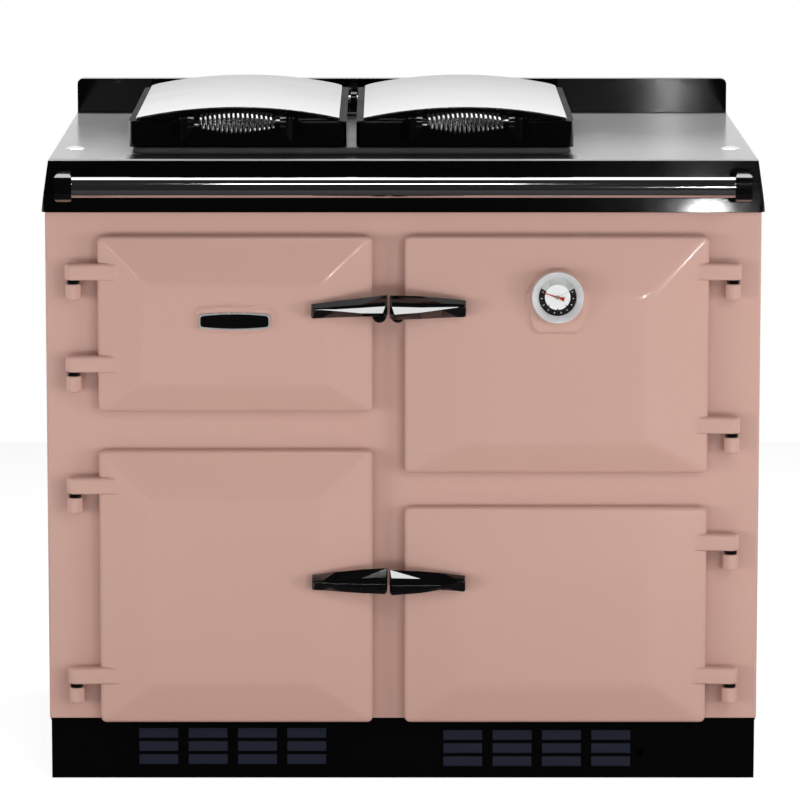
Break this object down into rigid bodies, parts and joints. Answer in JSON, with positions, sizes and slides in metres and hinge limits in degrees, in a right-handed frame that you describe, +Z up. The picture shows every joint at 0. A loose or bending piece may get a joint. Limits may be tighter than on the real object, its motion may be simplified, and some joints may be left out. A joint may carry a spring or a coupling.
{
  "type": "cast iron range cooker",
  "caption": "Floor-standing enamelled cast iron range cooker with side-hung doors, insulated hotplate lids, hand rail and boiler.",
  "frame": {"origin": "centre of the base, on the floor", "axes": "+X to the right seen from the front, +Y to the back, +Z up; the doors face -Y"},
  "size_m": [0.987, 0.742, 0.933],
  "materials": {
    "pink_enamel": "gloss vitreous enamel, blush pink",
    "black_enamel": "gloss vitreous enamel, black",
    "black_gloss": "gloss black",
    "collar_black": "black bearing ring on a steel pin",
    "chrome": "polished chrome",
    "cast_iron": "bare iron",
    "sheet_steel": "satin steel sheet",
    "rope": "braided glass fibre rope",
    "insulation_board": "mineral board",
    "dial_white": "white printed dial",
    "clear_glass": "clear glass",
    "needle_red": "red needle"
  },
  "bodies": {
    "root": {"base_tray": "cast_iron", "plinth": "black_enamel", "front_plate": "pink_enamel", "side_panels": "pink_enamel", "back_panel": "sheet_steel", "insulation": "insulation_board", "top_plate": "black_enamel", "splashback": "black_enamel", "top_plugs": "chrome", "hotplate": "cast_iron", "hotplate_rope": "rope", "rail_brackets": "black_gloss", "hand_rail": "chrome", "hinge_cups": "pink_enamel", "catch_studs": "black_gloss", "main_oven": "cast_iron", "lower_oven": "cast_iron", "oven_shelves": "chrome", "boiler": "cast_iron", "boiler_sockets": "cast_iron", "burner": "sheet_steel", "control_panel": "sheet_steel", "flue_spigot": "cast_iron", "lid_hinge_brackets": "black_gloss", "lid_hinge_rod": "chrome"},
    "control_door": {"control_door": "pink_enamel", "control_door_lining": "sheet_steel", "control_door_pins": "collar_black", "name_badge": "black_gloss"},
    "control_door_handle": {"control_door_handle": "black_gloss"},
    "burner_door": {"burner_door": "pink_enamel", "burner_door_lining": "sheet_steel", "burner_door_pins": "collar_black"},
    "burner_door_handle": {"burner_door_handle": "black_gloss"},
    "main_oven_door": {"main_oven_door": "pink_enamel", "main_oven_door_lining": "sheet_steel", "main_oven_door_pins": "collar_black", "main_oven_door_rope": "rope", "gauge_case": "chrome", "gauge_dial": "dial_white", "gauge_glass": "clear_glass"},
    "main_oven_door_handle": {"main_oven_door_handle": "black_gloss"},
    "lower_oven_door": {"lower_oven_door": "pink_enamel", "lower_oven_door_lining": "sheet_steel", "lower_oven_door_pins": "collar_black", "lower_oven_door_rope": "rope"},
    "lower_oven_door_handle": {"lower_oven_door_handle": "black_gloss"},
    "left_lid": {"left_lid_frame": "black_enamel", "left_lid_cover": "chrome", "left_lid_plate": "sheet_steel", "left_lid_brackets": "black_gloss", "left_lid_coil": "chrome"},
    "right_lid": {"right_lid_frame": "black_enamel", "right_lid_cover": "chrome", "right_lid_plate": "sheet_steel", "right_lid_brackets": "black_gloss", "right_lid_coil": "chrome"},
    "gauge_needle": {"gauge_needle": "needle_red"},
    "left_knob": {"left_knob": "black_gloss"},
    "right_knob": {"right_knob": "black_gloss"}
  },
  "joints": [
    {"name": "control_door_hinge", "type": "hinge", "parent": "root", "child": "control_door", "pos_m": [-0.45, -0.3225, 0.3], "axis": [0, 0, -1], "range_deg": [0, 115]},
    {"name": "control_door_handle_turn", "type": "hinge", "parent": "control_door", "child": "control_door_handle", "pos_m": [-0.072, -0.355, 0.6685], "axis": [0, -1, 0], "range_deg": [0, 22]},
    {"name": "burner_door_hinge", "type": "hinge", "parent": "root", "child": "burner_door", "pos_m": [-0.45, -0.3225, 0.3], "axis": [0, 0, -1], "range_deg": [0, 115]},
    {"name": "burner_door_handle_turn", "type": "hinge", "parent": "burner_door", "child": "burner_door_handle", "pos_m": [-0.072, -0.355, 0.292], "axis": [0, -1, 0], "range_deg": [0, 22]},
    {"name": "main_oven_door_hinge", "type": "hinge", "parent": "root", "child": "main_oven_door", "pos_m": [0.45, -0.3225, 0.3], "axis": [0, 0, 1], "range_deg": [0, 115]},
    {"name": "main_oven_door_handle_turn", "type": "hinge", "parent": "main_oven_door", "child": "main_oven_door_handle", "pos_m": [0.032, -0.355, 0.6685], "axis": [0, 1, 0], "range_deg": [0, 22]},
    {"name": "lower_oven_door_hinge", "type": "hinge", "parent": "root", "child": "lower_oven_door", "pos_m": [0.45, -0.3225, 0.3], "axis": [0, 0, 1], "range_deg": [0, 115]},
    {"name": "lower_oven_door_handle_turn", "type": "hinge", "parent": "lower_oven_door", "child": "lower_oven_door_handle", "pos_m": [0.032, -0.355, 0.292], "axis": [0, 1, 0], "range_deg": [0, 22]},
    {"name": "left_lid_hinge", "type": "hinge", "parent": "root", "child": "left_lid", "pos_m": [-0.071, 0.236, 0.895], "axis": [-1, 0, 0], "range_deg": [0, 78]},
    {"name": "right_lid_hinge", "type": "hinge", "parent": "root", "child": "right_lid", "pos_m": [-0.071, 0.236, 0.895], "axis": [-1, 0, 0], "range_deg": [0, 78]},
    {"name": "gauge_needle_turn", "type": "hinge", "parent": "main_oven_door", "child": "gauge_needle", "pos_m": [0.2095, -0.367, 0.6845], "axis": [0, 1, 0], "range_deg": [-227, 11]},
    {"name": "left_knob_turn", "type": "hinge", "parent": "root", "child": "left_knob", "pos_m": [-0.2945, -0.245, 0.65], "axis": [0, 1, 0], "range_deg": [0, 270]},
    {"name": "right_knob_turn", "type": "hinge", "parent": "root", "child": "right_knob", "pos_m": [-0.1645, -0.245, 0.65], "axis": [0, 1, 0], "range_deg": [0, 270]}
  ]
}
